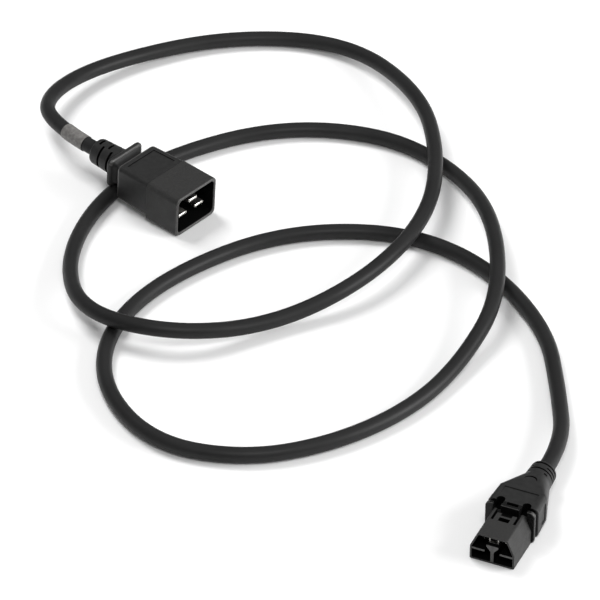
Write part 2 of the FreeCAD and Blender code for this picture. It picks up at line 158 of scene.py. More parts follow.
sleeve_line = route_curve("sleeve_line", cable_route)
line_mesh = bpy.data.meshes.new_from_object(sleeve_line)
sleeve_points = []
walked = 0.0
for before, after in zip(line_mesh.vertices, line_mesh.vertices[1:]):
    step = (after.co - before.co).length
    for wanted in (sleeve_start, sleeve_start + sleeve_length):
        if walked <= wanted < walked + step:
            sleeve_points.append(before.co.lerp(after.co, (wanted - walked) / step))
    walked += step
    if sleeve_start < walked < sleeve_start + sleeve_length:
        sleeve_points.append(after.co.copy())
bpy.data.meshes.remove(line_mesh)
bpy.data.objects.remove(sleeve_line)
sleeve_points.sort(key=lambda point: (point - Vector(plug_exit)).length)

sleeve_curve = bpy.data.curves.new("label_sleeve", "CURVE")
sleeve_curve.dimensions = "3D"
sleeve_spline = sleeve_curve.splines.new("POLY")
sleeve_spline.points.add(len(sleeve_points) - 1)
for place, point in zip(sleeve_spline.points, sleeve_points):
    place.co = (*point, 1.0)
sleeve_curve.bevel_depth = cable_diameter / 2 + sleeve_film
sleeve_curve.bevel_resolution = 12
label_sleeve = bpy.data.objects.new("label_sleeve", sleeve_curve)
bpy.context.scene.collection.objects.link(label_sleeve)
label_sleeve.select_set(True)
bpy.context.view_layer.objects.active = label_sleeve
bpy.ops.object.convert(target="MESH")
film = label_sleeve.modifiers.new("film", "SOLIDIFY")
film.thickness = sleeve_film
film.offset = -1.0
bpy.ops.object.modifier_apply(modifier=film.name)
bpy.ops.object.shade_smooth_by_angle(angle=math.radians(40))
grey_film, shader = new_finish("grey_film", (0.141, 0.136, 0.13))
vary_colour(grey_film, shader, grain(grey_film, scale=500, detail=3),
            dark=(0.1, 0.0965, 0.092), light=(0.182, 0.176, 0.169))
vary_roughness(grey_film, shader, grain(grey_film, scale=200, detail=4), low=0.42, high=0.56)
raise_grain(grey_film, shader, grain(grey_film, scale=1300), strength=0.3, height=0.0003)
label_sleeve.data.materials.clear()
label_sleeve.data.materials.append(grey_film)
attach(label_sleeve, "root")
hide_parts("label_band")


# Plug shroud: the hard skirt round the pins, injection moulded in grained black polyamide.
# Its mouth has rounded corners and a rounded rim, and its tenon holds it in the soft body behind.
# Sizes are millimetres from the middle of the mouth, with the pins pointing along +X.
mm = 0.001
plug_mouth = (-0.1276, 0.0581, 0.01357)
plug_turn = (0, math.radians(3.8226), 0)
shroud_width, shroud_bottom, shroud_top, shroud_length = 34.0, -13.6, 12.7, 24.0
shroud_section = (shroud_width, shroud_bottom, shroud_top)
shroud_wall, shroud_corner, shroud_chamfer, shroud_edge = 1.8, 4.0, 0.3, 0.25
rim_round, mouth_depth = 0.7, 19.0
tenon_width, tenon_rise, tenon_length = 25.0, 8.0, 8.0
corner_steps = 15
smooth_angle = math.radians(35)
# How squarely a face looks one way, and how near two places lie, for picking faces and edges.
facing, squarely = 0.9, 0.95
same_place, close_by, beside = 0.01, 0.05, 0.1


def add_face(name, x, width, bottom, top, corner):
    """Upright face across X with rounded corners, picked and ready to be drawn out in rings."""
    bpy.ops.object.select_all(action="DESELECT")
    middle = (x * mm, 0, (bottom + top) / 2 * mm)
    bpy.ops.mesh.primitive_plane_add(size=mm, location=middle, rotation=(0, math.pi / 2, 0))
    piece = bpy.context.object
    piece.name = name
    piece.scale = (top - bottom, width, 1)
    bpy.ops.object.transform_apply(location=True, rotation=True, scale=True)
    bpy.ops.object.mode_set(mode="EDIT")
    bpy.ops.mesh.select_all(action="SELECT")
    bpy.ops.mesh.bevel(offset=corner * mm, segments=corner_steps, affect="VERTICES")
    bpy.ops.mesh.select_mode(type="FACE")
    bpy.ops.mesh.select_all(action="SELECT")
    return piece


def draw_ring(x, width, bottom, top, inset=0.0):
    """Draws the picked end face out to a new ring at x, this far inside a width and height."""
    width, bottom, top = width - 2 * inset, bottom + inset, top - inset
    mesh = bmesh.from_edit_mesh(bpy.context.object.data)
    ring = [point.co for point in mesh.verts if point.select]
    low = [min(point[axis] for point in ring) for axis in range(3)]
    high = [max(point[axis] for point in ring) for axis in range(3)]
    middle = (bottom + top) / 2 * mm
    shift = (x * mm - low[0], 0, middle - (low[2] + high[2]) / 2)
    stretch = (1, width * mm / (high[1] - low[1]), (top - bottom) * mm / (high[2] - low[2]))
    bpy.ops.mesh.extrude_region_move(TRANSFORM_OT_translate={"value": shift})
    bpy.ops.transform.resize(value=stretch, center_override=(x * mm, 0, middle))


def quarter_round(radius, steps=4):
    """Steps along and inwards of a rounded edge, from the full section to the end face."""
    angles = [math.pi / 2 * (step + 1) / steps for step in range(steps)]
    return [(radius * math.sin(angle), radius * (1 - math.cos(angle))) for angle in angles]


def pick_faces(test):
    """Picks, in edit mode, the faces whose middle in millimetres and direction pass the test."""
    bpy.ops.mesh.select_mode(type="FACE")
    bpy.ops.mesh.select_all(action="DESELECT")
    mesh = bmesh.from_edit_mesh(bpy.context.object.data)
    mesh.normal_update()
    for face in mesh.faces:
        if test(face.calc_center_bounds() / mm, face.normal):
            face.select_set(True)
    bmesh.update_edit_mesh(bpy.context.object.data)


def pick_edges(test):
    """Picks, in edit mode, the edges whose two ends in millimetres pass the test."""
    bpy.ops.mesh.select_mode(type="EDGE")
    bpy.ops.mesh.select_all(action="DESELECT")
    mesh = bmesh.from_edit_mesh(bpy.context.object.data)
    for edge in mesh.edges:
        if test(edge.verts[0].co / mm, edge.verts[1].co / mm):
            edge.select_set(True)
    bmesh.update_edit_mesh(bpy.context.object.data)


def turn_outwards():
    """Merges doubles and points every face outwards, still in edit mode."""
    bpy.ops.mesh.select_all(action="SELECT")
    bpy.ops.mesh.remove_doubles(threshold=1e-6)
    bpy.ops.mesh.normals_make_consistent(inside=False)


def soften(piece, radius, sharp=40):
    """Rounds the edges that are still sharp by a fine bevel, and shades the piece smooth."""
    if bpy.context.mode != "OBJECT":
        bpy.ops.object.mode_set(mode="OBJECT")
    bpy.context.view_layer.objects.active = piece
    bevel = piece.modifiers.new("edge_round", "BEVEL")
    bevel.width = radius * mm
    bevel.segments = 2
    bevel.limit_method = "ANGLE"
    bevel.angle_limit = math.radians(sharp)
    bpy.ops.object.modifier_apply(modifier=bevel.name)
    bpy.ops.object.select_all(action="DESELECT")
    piece.select_set(True)
    bpy.ops.object.shade_smooth_by_angle(angle=smooth_angle)
    flats = piece.modifiers.new("steady_flats", "WEIGHTED_NORMAL")
    flats.keep_sharp = True
    bpy.ops.object.modifier_apply(modifier=flats.name)


def finish_faces(piece, finish, test):
    """Gives this finish to the faces of a piece that pass the test."""
    piece.data.materials.append(finish)
    bpy.context.view_layer.objects.active = piece
    bpy.ops.object.mode_set(mode="EDIT")
    pick_faces(test)
    piece.active_material_index = len(piece.data.materials) - 1
    bpy.ops.object.material_slot_assign()
    bpy.ops.object.mode_set(mode="OBJECT")


def all_over(middle, way):
    """True for every face."""
    return True


def in_mouth(middle, way):
    """True for the walls and the floor of the shroud's mouth, behind its rim, which get painted
    shade.
    """
    wall = shroud_wall - beside
    across = abs(middle.y) < shroud_width / 2 - wall
    upright = shroud_bottom + wall < middle.z < shroud_top - wall
    return across and upright and -mouth_depth - close_by < middle.x < -rim_round - close_by


def seat(piece, place, turn):
    """Moves a piece from its own middle lines to where it lies, its object at the origin."""
    piece.location = place
    piece.rotation_euler = turn
    bpy.ops.object.select_all(action="DESELECT")
    piece.select_set(True)
    bpy.context.view_layer.objects.active = piece
    bpy.ops.object.transform_apply(location=True, rotation=True, scale=True)


shroud = add_face("plug_shroud_skirt", 0, shroud_width - 2 * rim_round, shroud_bottom + rim_round,
                  shroud_top - rim_round, shroud_corner - rim_round)
for run, inset in reversed(quarter_round(rim_round)[:-1]):
    draw_ring(-rim_round + run, *shroud_section, inset)
draw_ring(-rim_round, *shroud_section)
draw_ring(-shroud_length + shroud_chamfer, *shroud_section)
draw_ring(-shroud_length, *shroud_section, shroud_chamfer)
draw_ring(-shroud_length, tenon_width, -tenon_rise, tenon_rise)
draw_ring(-shroud_length - tenon_length, tenon_width, -tenon_rise, tenon_rise)
turn_outwards()
pick_faces(lambda middle, way: middle.x > -same_place and way.x > facing)
for inset, run in [(0, 0)] + quarter_round(rim_round):
    draw_ring(-run, *shroud_section, shroud_wall - rim_round + inset)
draw_ring(-mouth_depth, *shroud_section, shroud_wall)
turn_outwards()
soften(shroud, shroud_edge)
grained_black, shader = new_finish("grained_black", (0.024, 0.024, 0.024))
shader.inputs["Specular IOR Level"].default_value = 0.32
vary_colour(grained_black, shader, grain(grained_black, scale=1800, detail=2),
            dark=(0.017, 0.017, 0.0168), light=(0.033, 0.0326, 0.032))
vary_roughness(grained_black, shader, grain(grained_black, scale=150, detail=4), low=0.5, high=0.62)
raise_grain(grained_black, shader, grain(grained_black, scale=2600), strength=0.45, height=0.0003)
# Near-black finish with almost no gloss, painted into mouths, recesses, slots, chambers and gaps:
# painted shade.
painted_shade_black, shader = new_finish("painted_shade_black", (0.003, 0.003, 0.003))
shader.inputs["Specular IOR Level"].default_value = 0.03
vary_roughness(painted_shade_black, shader, grain(painted_shade_black, scale=180, detail=3), low=0.5, high=0.62)
raise_grain(painted_shade_black, shader, grain(painted_shade_black, scale=900), strength=0.06, height=0.0002)
# Paler, smoother black painted on rims, edges and front faces where light catches them: a painted
# highlight.
painted_highlight_black, shader = new_finish("painted_highlight_black", (0.045, 0.044, 0.043))
vary_colour(painted_highlight_black, shader, grain(painted_highlight_black, scale=700, detail=4),
            dark=(0.03, 0.0295, 0.029), light=(0.06, 0.059, 0.057))
vary_roughness(painted_highlight_black, shader, grain(painted_highlight_black, scale=300, detail=4), low=0.3, high=0.45)
raise_grain(painted_highlight_black, shader, grain(painted_highlight_black, scale=1400), strength=0.1, height=0.0002)
finish_faces(shroud, grained_black, all_over)
# Painted shade inside the mouth.
finish_faces(shroud, painted_shade_black, in_mouth)
# Painted highlight on the front of the rim.
finish_faces(shroud, painted_highlight_black, lambda middle, way: middle.x > -rim_round + close_by)
seat(shroud, plug_mouth, plug_turn)
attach(shroud, "root")
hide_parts("plug_shroud")


# Plug pins: three flat blades stamped from brass and nickel plated, with rounded tips.
# Each is rolled into a bored crimp barrel at its rear and is moulded into the shroud's floor;
# earth leads the other two.
pin_width, pin_thickness, pin_tip, pin_rear = 7.0, 2.0, -3.8, -32.0
pin_edge_round, pin_tip_round, pin_tip_length = 0.3, 0.8, 1.0
barrel_diameter, barrel_rear, bore_diameter, bore_depth = 3.8, -39.0, 1.9, 6.0
barrel_sides = 32
cut_past = 1.0
pin_places = {"line": (-7.0, -3.9, 0.0), "neutral": (7.0, -3.9, 0.0), "earth": (0.0, 4.2, 1.4)}


def add_block(name, rear, front, width, bottom, top, y=0.0):
    """Plain block along X to start a piece from, with its place in its mesh."""
    bpy.ops.object.select_all(action="DESELECT")
    middle = ((rear + front) / 2 * mm, y * mm, (bottom + top) / 2 * mm)
    bpy.ops.mesh.primitive_cube_add(size=mm, location=middle)
    piece = bpy.context.object
    piece.name = name
    piece.scale = (front - rear, width, top - bottom)
    bpy.ops.object.transform_apply(location=True, rotation=True, scale=True)
    return piece


def add_cylinder(place, radius, height, sides, turn=(0, 0, 0)):
    """Cylinder to join or cut with, upright unless it is turned, with its place in its mesh."""
    bpy.ops.object.select_all(action="DESELECT")
    bpy.ops.mesh.primitive_cylinder_add(
        vertices=sides, radius=radius * mm, depth=height * mm,
        location=[value * mm for value in place], rotation=turn,
    )
    bpy.ops.object.transform_apply(location=True, rotation=True, scale=True)
    return bpy.context.object


def join_or_cut(piece, tool, operation):
    """Joins a tool to the piece or cuts it out of it; the tool is used up."""
    bpy.context.view_layer.objects.active = piece
    change = piece.modifiers.new(operation, "BOOLEAN")
    change.operation = operation
    change.solver = "EXACT"
    change.object = tool
    bpy.ops.object.modifier_apply(modifier=change.name)
    bpy.data.objects.remove(tool, do_unlink=True)


nickel, shader = new_finish("nickel_plate", (0.8, 0.78, 0.74))
shader.inputs["Metallic"].default_value = 1.0
vary_roughness(nickel, shader, grain(nickel, scale=300, detail=4), low=0.22, high=0.36)
raise_grain(nickel, shader, grain(nickel, scale=1500), strength=0.08, height=0.0002)
blade = add_block("blade", pin_rear, pin_tip, pin_width, -pin_thickness / 2, pin_thickness / 2)
bpy.ops.object.mode_set(mode="EDIT")
pick_edges(lambda a, b: abs(a.x - b.x) > pin_thickness)
bpy.ops.mesh.bevel(offset=pin_edge_round * mm, segments=3, affect="EDGES")
pick_edges(lambda a, b: min(a.x, b.x) > pin_tip - same_place)
bpy.ops.mesh.bevel(offset=pin_tip_round * mm, segments=5, affect="EDGES")
bpy.ops.object.mode_set(mode="OBJECT")
for diameter, rear, front, operation in (
    (barrel_diameter, barrel_rear, pin_rear, "UNION"),
    (bore_diameter, barrel_rear - cut_past, barrel_rear + bore_depth, "DIFFERENCE"),
):
    bar = add_cylinder(((rear + front) / 2, 0, 0), diameter / 2, front - rear, barrel_sides,
                       (0, math.pi / 2, 0))
    join_or_cut(blade, bar, operation)
blade.data.materials.append(nickel)
for name, (y, z, lead) in pin_places.items():
    bpy.ops.object.select_all(action="DESELECT")
    blade.select_set(True)
    bpy.context.view_layer.objects.active = blade
    bpy.ops.object.duplicate()
    pin = bpy.context.object
    pin.name = "plug_" + name + "_blade"
    bpy.ops.object.mode_set(mode="EDIT")
    pick_faces(lambda middle, way: middle.x > pin_tip - pin_tip_length)
    bpy.ops.transform.translate(value=(lead * mm, 0, 0))
    bpy.ops.mesh.select_all(action="SELECT")
    bpy.ops.transform.translate(value=(0, y * mm, z * mm))
    bpy.ops.object.mode_set(mode="OBJECT")
    bpy.ops.object.shade_smooth_by_angle(angle=smooth_angle)
    seat(pin, plug_mouth, plug_turn)
    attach(pin, "root")
    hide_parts("plug_" + name + "_pin")
bpy.data.objects.remove(blade, do_unlink=True)


# Plug overmold: the soft rear of the plug, black elastomer moulded round tenon, crimps and cable.
# The body tapers to a scooped finger grip with a rounded lip, and a strain relief with cross
# slots lets the cable bend.
body_front, body_rear, body_front_width, body_rear_width = -24.0, -48.0, 33.2, 31.6
body_bottom, body_top, body_taper = -11.6, 12.4, 0.5
body_round, body_corner, body_seam, body_edge = 1.8, 3.2, 0.25, 0.15
panel_limits, panel_margin, panel_depth = (-26.1, -45.1), 1.5, 0.5
body_hollow = [(body_front, 25.2, 8.1), (-43.2, 25.2, 8.1), (-48.0, 12.0, 5.5), (-54.2, 12.0, 5.5)]
waist_width, waist_rise, waist_end = 19.0, 6.5, -50.2
waist_fillet = [(0.0, 0.7), (0.5, 0.15), (1.2, 0.0)]
grip_steps, grip_curve = 7, 1.9
lip_front, lip_rear, lip_round = -54.5, -58.0, 1.4
lip_width, lip_bottom, lip_top = 27.5, -8.2, 10.4
lip_section = (lip_width, lip_bottom, lip_top)
relief_end, relief_root_diameter, relief_end_diameter, relief_round = -77.5, 17.6, 15.8, 1.5
slot_width, slot_floor_diameter, side_slot_rise, top_slot_half = 1.5, 10.2, 7.9, 2.6
slot_places = [-73.5, -70.0, -66.5, -63.0]
slot_skin, slot_floor_skin = 0.35, 0.1
lean_from, lean_to = 0.2, 0.7
cable_mouth_diameter, cable_mouth_depth = 9.4, 0.8


def taper(x, start, end, start_size, end_size):
    """Size at x of what tapers evenly from one place to another."""
    return start_size + (start - x) / (start - end) * (end_size - start_size)


def body_ring(x, inset=0.0):
    """Ring of the tapering body at x, drawn in by this much all round."""
    width = taper(x, body_front, body_rear, body_front_width, body_rear_width)
    rise = taper(x, body_front, body_rear, 0.0, body_taper)
    draw_ring(x, width, body_bottom + rise, body_top - rise, inset)


def add_disc(x, diameter, height=0.0):
    """Upright round face across X, picked and ready to be drawn out in rings."""
    bpy.ops.object.select_all(action="DESELECT")
    bpy.ops.mesh.primitive_circle_add(
        vertices=4 * (corner_steps + 1), radius=diameter / 2 * mm, fill_type="NGON",
        location=(x * mm, 0, height * mm), rotation=(0, math.pi / 2, 0),
    )
    bpy.ops.object.transform_apply(location=True, rotation=True, scale=True)
    bpy.ops.object.mode_set(mode="EDIT")
    bpy.ops.mesh.select_mode(type="FACE")
    bpy.ops.mesh.select_all(action="SELECT")
    return bpy.context.object


def round_ring(x, diameter, height=0.0):
    """Draws the picked end face out to a round ring at x, about a line at this height."""
    draw_ring(x, diameter, height - diameter / 2, height + diameter / 2)


def end_relief(root, end, end_diameter, end_round, height=0.0):
    """Rounds a strain relief's end, sinks the cable's mouth into it and opens its root."""
    for run, inset in quarter_round(end_round):
        round_ring(end + end_round - run, end_diameter - 2 * inset, height)
    for x in (end, end + cable_mouth_depth):
        round_ring(x, cable_mouth_diameter, height)
    pick_faces(lambda middle, way: abs(middle.x - root) < same_place and abs(way.x) > facing)
    bpy.ops.mesh.delete(type="ONLY_FACE")
    turn_outwards()


def sink_band(x, share, height=0.0):
    """Sinks the picked band of a strain relief to this share of its diameter."""
    bpy.ops.mesh.extrude_region_move(TRANSFORM_OT_translate={"value": (0, 0, 0)})
    bpy.ops.transform.resize(value=(1, share, share), center_override=(x * mm, 0, height * mm))


def join_rear(piece, rear_half):
    """Joins the rear half to a piece, which is then in edit mode."""
    bpy.ops.object.mode_set(mode="OBJECT")
    bpy.ops.object.select_all(action="DESELECT")
    rear_half.select_set(True)
    piece.select_set(True)
    bpy.context.view_layer.objects.active = piece
    bpy.ops.object.join()
    bpy.ops.object.mode_set(mode="EDIT")


def panel_wall(middle, way):
    """True for the walls round the recessed panel in the body's top, which get painted shade."""
    sunk = middle.z - body_top + taper(middle.x, body_front, body_rear, 0.0, body_taper)
    along = panel_limits[1] < middle.x < panel_limits[0]
    across = abs(middle.y) < body_rear_width / 2 - body_corner
    return along and across and -panel_depth + same_place < sunk < -close_by and way.z < squarely


def in_slots(middle, way):
    """True for the walls and floors of the strain relief's slots, which get painted shade."""
    shallow = relief_end_diameter / 2 - slot_skin
    deep = slot_floor_diameter / 2 - slot_floor_skin
    along = relief_end + relief_round < middle.x < lip_rear - slot_width / 2
    return along and deep < math.hypot(middle.y, middle.z) < shallow


def highlight_edges(middle, way):
    """True for the edges that get a painted highlight: the lip's upper front and the body's rear
    edge.
    """
    on_lip = lip_front - lip_round - beside < middle.x < lip_front + beside
    on_body = body_rear - close_by < middle.x < body_rear + body_round
    lip_edge = on_lip and way.x > lean_from and way.z > 0
    return lip_edge or on_body and lean_from < -way.x < lean_to


overmold = add_face("plug_soft_body", body_front, body_front_width - 2 * body_seam,
                    body_bottom + body_seam, body_top - body_seam, body_corner)
body_ring(body_front - body_seam)
for x in panel_limits:
    body_ring(x)
body_ring(body_rear + body_round)
for run, inset in quarter_round(body_round):
    body_ring(body_rear + body_round - run, inset)
for setback, swell in waist_fillet:
    draw_ring(body_rear - setback, waist_width, -waist_rise, waist_rise, -swell)
for step in range(grip_steps + 1):
    along = step / grip_steps
    flare = along ** grip_curve
    draw_ring(
        waist_end + along * (lip_front - waist_end),
        waist_width + flare * (lip_width - 2 * lip_round - waist_width),
        -waist_rise + flare * (lip_bottom + lip_round + waist_rise),
        waist_rise + flare * (lip_top - lip_round - waist_rise),
    )
for run, inset in reversed(quarter_round(lip_round)[:-1]):
    draw_ring(lip_front - lip_round + run, *lip_section, inset)
draw_ring(lip_front - lip_round, *lip_section)
draw_ring(lip_rear + lip_round, *lip_section)
for run, inset in quarter_round(lip_round):
    draw_ring(lip_rear + lip_round - run, *lip_section, inset)
bpy.ops.mesh.delete(type="ONLY_FACE")
turn_outwards()
pick_faces(lambda middle, way: way.z > facing and panel_limits[1] < middle.x < panel_limits[0]
           and abs(middle.y) < beside)
bpy.ops.mesh.inset(thickness=panel_margin * mm)
bpy.ops.mesh.extrude_region_move(TRANSFORM_OT_translate={"value": (0, 0, -panel_depth * mm)})
pick_faces(lambda middle, way: middle.x > body_front - same_place and way.x > facing)
for x, width, rise in body_hollow:
    draw_ring(x, width, -rise, rise)
bpy.ops.object.mode_set(mode="OBJECT")
relief = add_disc(lip_rear, relief_root_diameter)
for slot_x in reversed(slot_places):
    for x in (slot_x + slot_width / 2, slot_x - slot_width / 2):
        round_ring(x, taper(x, lip_rear, relief_end, relief_root_diameter, relief_end_diameter))
x = relief_end + relief_round
round_ring(x, taper(x, lip_rear, relief_end, relief_root_diameter, relief_end_diameter))
end_relief(lip_rear, relief_end, relief_end_diameter, relief_round)
slot_share = slot_floor_diameter / ((relief_root_diameter + relief_end_diameter) / 2)
for row, slot_x in enumerate(slot_places):
    if row % 2:
        pick_faces(lambda middle, way: abs(middle.x - slot_x) < slot_width / 4
                   and abs(middle.z) < side_slot_rise)
    else:
        pick_faces(lambda middle, way: abs(middle.x - slot_x) < slot_width / 4
                   and abs(middle.y) < top_slot_half)
    sink_band(slot_x, slot_share)
join_rear(overmold, relief)
pick_edges(lambda a, b: all(abs(end.x - lip_rear) < same_place for end in (a, b)))
bpy.ops.mesh.bridge_edge_loops()
turn_outwards()
soften(overmold, body_edge)
satin_black, shader = new_finish("satin_black", (0.0175, 0.0175, 0.0175))
shader.inputs["Specular IOR Level"].default_value = 0.3
vary_colour(satin_black, shader, grain(satin_black, scale=400, detail=3),
            dark=(0.0145, 0.0145, 0.0145), light=(0.0205, 0.0205, 0.0203))
vary_roughness(satin_black, shader, grain(satin_black, scale=90, detail=4), low=0.42, high=0.54)
raise_grain(satin_black, shader, grain(satin_black, scale=1400), strength=0.14, height=0.0002)
finish_faces(overmold, satin_black, all_over)
# Painted shade on the panel's walls and in the relief's slots.
finish_faces(overmold, painted_shade_black, lambda middle, way: panel_wall(middle, way)
             or in_slots(middle, way))
# Painted highlight on the lip's upper front and the body's rear edge.
finish_faces(overmold, painted_highlight_black, highlight_edges)
seat(overmold, plug_mouth, plug_turn)
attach(overmold, "root")
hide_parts("plug_overmold")


# Connector housing: the hard nose that goes into the rack inlet, in the same black polyamide.
# A Y-shaped divider and two side ribs part its chambers, and slits free the latch tongue in its
# top. Sizes are millimetres from the middle of the nose's lower front edge, nose along +X.
connector_nose = (0.1935, -0.0717, 0.0)
connector_turn = (0, 0, math.radians(-74.0))
nose_width, nose_side, nose_height, nose_top_width, nose_length = 25.0, 8.6, 17.7, 17.0, 23.5
nose_wall, nose_round, nose_edge, chamber_depth, chamber_round = 1.0, 0.7, 0.18, 17.0, 0.4
nose_skin, nose_slope_skin, nose_front_skin, front_lean = 0.2, 0.25, 0.3, 0.5
rib_bottom, rib_top, rib_inner = 6.6, 7.8, 4.3
stem_width, stem_top, head_width, head_bottom, head_top = 1.8, 7.5, 6.8, 10.5, 11.6
divider_front, root_depth = -0.1, 0.5
tongue_floor, slit_front, slit_width, slit_offset = 15.6, -14.0, 1.5, 6.3
window_width, bar_front, bar_rear, latch_gap_front = 6.0, -17.0, -18.4, -20.5
housing_waist_rear, housing_waist_root, housing_waist = -35.4, 1.0, (21.0, 1.4, 13.2)


def inside_nose(middle, way):
    """True for the faces of the chambers, slits and windows, behind the nose's front edges, which
    get painted shade.
    """
    run, rise = (nose_width - nose_top_width) / 2, nose_height - nose_side
    past_side, past_bend = abs(middle.y) - nose_width / 2, middle.z - nose_side
    past_slope = (past_side * rise + past_bend * run) / math.hypot(run, rise)
    across = past_side < -nose_skin and past_slope < -nose_slope_skin
    upright = nose_skin < middle.z < nose_height - nose_slope_skin
    return across and upright and -nose_length + beside < middle.x < -nose_front_skin


housing = add_block("connector_nose_housing", -nose_length, 0, nose_width, 0, nose_height)
bpy.ops.object.mode_set(mode="EDIT")
for side in (-1, 1):
    bpy.ops.mesh.select_all(action="SELECT")
    slope = Vector((0, side * (nose_height - nose_side), (nose_width - nose_top_width) / 2))
    bpy.ops.mesh.bisect(
        plane_co=(0, side * nose_width / 2 * mm, nose_side * mm),
        plane_no=slope.normalized(), use_fill=True, clear_outer=True,
    )
turn_outwards()
pick_faces(lambda middle, way: way.x > facing)
bpy.ops.mesh.inset(thickness=nose_wall * mm)
bpy.ops.mesh.extrude_region_move(TRANSFORM_OT_translate={"value": (-chamber_depth * mm, 0, 0)})
for length, radius, segments in ((nose_length, nose_round, 4), (chamber_depth, chamber_round, 3)):
    pick_edges(lambda a, b: abs(abs(a.x - b.x) - length) < beside)
    bpy.ops.mesh.bevel(offset=radius * mm, segments=segments, affect="EDGES")
turn_outwards()
bpy.ops.object.mode_set(mode="OBJECT")
divider_rear = -chamber_depth - root_depth
divider = add_block("divider", divider_rear, divider_front, stem_width, nose_wall / 2, stem_top)
bpy.ops.object.mode_set(mode="EDIT")
pick_faces(lambda middle, way: way.z > facing)
rise = (0, 0, (head_bottom - stem_top) * mm)
bpy.ops.mesh.extrude_region_move(TRANSFORM_OT_translate={"value": rise})
widen = (1, head_width / stem_width, 1)
bpy.ops.transform.resize(value=widen, center_override=(0, 0, head_bottom * mm))
rise = (0, 0, (head_top - head_bottom) * mm)
bpy.ops.mesh.extrude_region_move(TRANSFORM_OT_translate={"value": rise})
turn_outwards()
bpy.ops.object.mode_set(mode="OBJECT")
join_or_cut(housing, divider, "UNION")
rib_outer = nose_width / 2 - nose_wall / 2
for side in (-1, 1):
    rib = add_block("rib", divider_rear, divider_front, rib_outer - rib_inner, rib_bottom, rib_top,
                    side * (rib_outer + rib_inner) / 2)
    join_or_cut(housing, rib, "UNION")
waist = add_block("waist", housing_waist_rear, -nose_length + housing_waist_root, *housing_waist)
join_or_cut(housing, waist, "UNION")
cut_top = nose_height + cut_past
cut_rear = -nose_length - root_depth
for side in (-1, 1):
    slit = add_block("slit", cut_rear, slit_front, slit_width, tongue_floor, cut_top,
                     side * slit_offset)
    join_or_cut(housing, slit, "DIFFERENCE")
for rear, front, width in (
    (bar_front, slit_front, window_width),
    (latch_gap_front - root_depth, bar_rear, window_width),
    (cut_rear, latch_gap_front, 2 * slit_offset),
):
    window = add_block("window", rear, front, width, tongue_floor, cut_top)
    join_or_cut(housing, window, "DIFFERENCE")
soften(housing, nose_edge)
finish_faces(housing, grained_black, all_over)
# Painted shade in the chambers, slits and windows of the nose.
finish_faces(housing, painted_shade_black, inside_nose)
# Painted highlight on the nose's front edges and on the fronts of the divider and ribs.
finish_faces(housing, painted_highlight_black, lambda middle, way: -nose_front_skin < middle.x < -close_by
             and way.x > front_lean)
seat(housing, connector_nose, connector_turn)
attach(housing, "root")
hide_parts("connector_housing")


# Contacts: three nickel-plated box terminals, folded from strip, on the ribs and the divider.
# They and the core tails behind them keep their solids from the frame, since only the boxes'
# fronts show.
contact_plate, shader = new_finish("contact_plate", (0.42, 0.41, 0.39))
shader.inputs["Metallic"].default_value = 1.0
vary_roughness(contact_plate, shader, grain(contact_plate, scale=300, detail=4),
               low=0.42, high=0.56)
raise_grain(contact_plate, shader, grain(contact_plate, scale=1500), strength=0.08, height=0.0002)
core_colours = {
    "line": (0.14, 0.06, 0.025), "neutral": (0.02, 0.09, 0.35), "earth": (0.05, 0.3, 0.04),
}
for name, colour in core_colours.items():
    insulation, shader = new_finish("insulation_" + name, colour)
    vary_roughness(insulation, shader, grain(insulation, scale=200, detail=3), low=0.4, high=0.55)
    raise_grain(insulation, shader, grain(insulation, scale=900), strength=0.1, height=0.0002)
    for node, finish in (
        ("plug_" + name + "_core", insulation),
        ("connector_" + name + "_core", insulation),
        ("connector_" + name + "_contact", contact_plate),
    ):
        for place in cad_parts[node].material_slots:
            place.material = finish


# Collar: a separate plate of polished black plastic, slid over the housing's waist to the nose.
# Two notches leave a bracket over the latch tongue, and its two arms reach back to the cover.
collar_front, collar_rear, collar_width, collar_height = -23.5, -25.7, 28.0, 20.2
collar_section = (collar_width, 0, collar_height)
collar_corner, collar_round, collar_chamfer, collar_edge = 3.2, 0.5, 0.3, 0.35
waist_hole, collar_flat = (21.2, 1.3, 13.3), 0.97
notch_offset, notch_width, notch_floor = 7.4, 4.6, 15.2
arm_width, arm_offset, arm_top, arm_root, cover_front = 1.8, 4.2, 19.6, 0.5, -28.4
collar = add_face("connector_collar_plate", collar_front, collar_width - 2 * collar_round,
                  collar_round, collar_height - collar_round, collar_corner - collar_round)
for run, inset in reversed(quarter_round(collar_round)[:-1]):
    draw_ring(collar_front - collar_round + run, *collar_section, inset)
draw_ring(collar_front - collar_round, *collar_section)
draw_ring(collar_rear + collar_chamfer, *collar_section)
draw_ring(collar_rear, *collar_section, collar_chamfer)
turn_outwards()
bpy.ops.object.mode_set(mode="OBJECT")
cut_rear, cut_front = collar_rear - cut_past, collar_front + cut_past
join_or_cut(collar, add_block("waist_hole", cut_rear, cut_front, *waist_hole), "DIFFERENCE")
for side in (-1, 1):
    notch = add_block("notch", cut_rear, cut_front, notch_width, notch_floor,
                      collar_height + cut_past, side * notch_offset)
    join_or_cut(collar, notch, "DIFFERENCE")
    arm = add_block("arm", cover_front, collar_rear + arm_root, arm_width, notch_floor, arm_top,
                    side * arm_offset)
    join_or_cut(collar, arm, "UNION")
soften(collar, collar_edge)
polished_black, shader = new_finish("polished_black", (0.005, 0.005, 0.005))
shader.inputs["Specular IOR Level"].default_value = 0.2
vary_roughness(polished_black, shader, grain(polished_black, scale=220, detail=4),
               low=0.24, high=0.34)
raise_grain(polished_black, shader, grain(polished_black, scale=600), strength=0.05, height=0.0002)
finish_faces(collar, polished_black, all_over)
# Painted highlight on the collar's upward-leaning top edges, round the bracket and the ears.
finish_faces(collar, painted_highlight_black, lambda middle, way: middle.z > notch_floor + collar_chamfer
             and lean_from < way.z < collar_flat)
seat(collar, connector_nose, connector_turn)
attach(collar, "root")
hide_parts("connector_collar")


